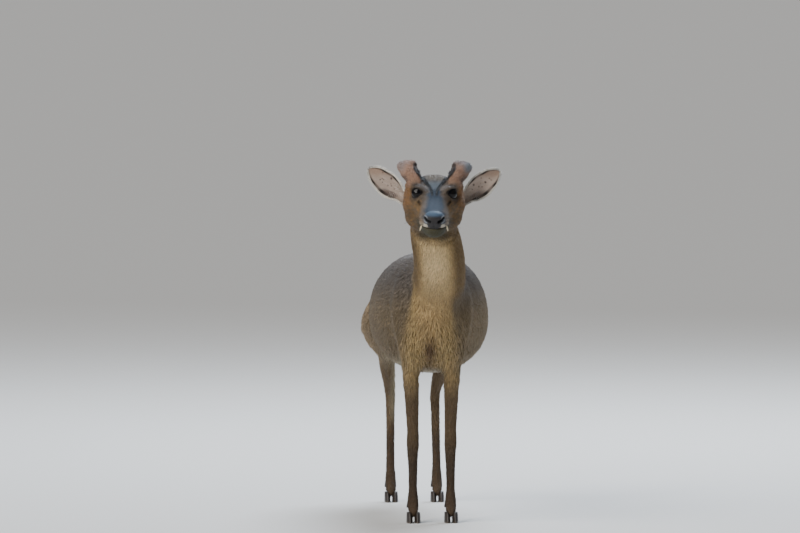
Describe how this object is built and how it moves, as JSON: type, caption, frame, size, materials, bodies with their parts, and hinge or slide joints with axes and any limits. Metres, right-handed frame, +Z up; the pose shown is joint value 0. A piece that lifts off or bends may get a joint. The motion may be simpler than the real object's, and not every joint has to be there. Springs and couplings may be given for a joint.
{
  "type": "muntjac buck life-size model",
  "caption": "Life-size still model of a muntjac buck in velvet, standing alert on all four hooves with its ears spread and its head turned to the front",
  "frame": {"origin": "on the floor, under the middle of the model's box", "axes": "+Y from the nose towards the tail, +X to the animal's left, +Z up"},
  "size_m": [0.2164, 0.7836, 0.5993],
  "materials": {
    "coat": "short flat hair",
    "velvet": "fine short velvet",
    "nose": "moist and finely grained",
    "eye": "polished",
    "tooth": "smooth, slightly glossy",
    "hoof": "worn horn"
  },
  "bodies": {
    "root": {"antler_left": "velvet", "antler_right": "velvet", "canine_left": "tooth", "canine_right": "tooth", "ear_left": "coat", "ear_right": "coat", "eye_left": "eye", "eye_right": "eye", "foreleg_left_dewclaw_inner": "hoof", "foreleg_left_dewclaw_outer": "hoof", "foreleg_left_forearm": "coat", "foreleg_left_hoof_inner": "hoof", "foreleg_left_hoof_outer": "hoof", "foreleg_left_shank": "coat", "foreleg_right_dewclaw_inner": "hoof", "foreleg_right_dewclaw_outer": "hoof", "foreleg_right_forearm": "coat", "foreleg_right_hoof_inner": "hoof", "foreleg_right_hoof_outer": "hoof", "foreleg_right_shank": "coat", "head": "coat", "hindleg_left_dewclaw_inner": "hoof", "hindleg_left_dewclaw_outer": "hoof", "hindleg_left_gaskin": "coat", "hindleg_left_hoof_inner": "hoof", "hindleg_left_hoof_outer": "hoof", "hindleg_left_shank": "coat", "hindleg_left_thigh": "coat", "hindleg_right_dewclaw_inner": "hoof", "hindleg_right_dewclaw_outer": "hoof", "hindleg_right_gaskin": "coat", "hindleg_right_hoof_inner": "hoof", "hindleg_right_hoof_outer": "hoof", "hindleg_right_shank": "coat", "hindleg_right_thigh": "coat", "neck": "coat", "nose": "nose", "pedicle_left": "coat", "pedicle_right": "coat", "tail": "coat", "torso": "coat"}
  },
  "joints": []
}
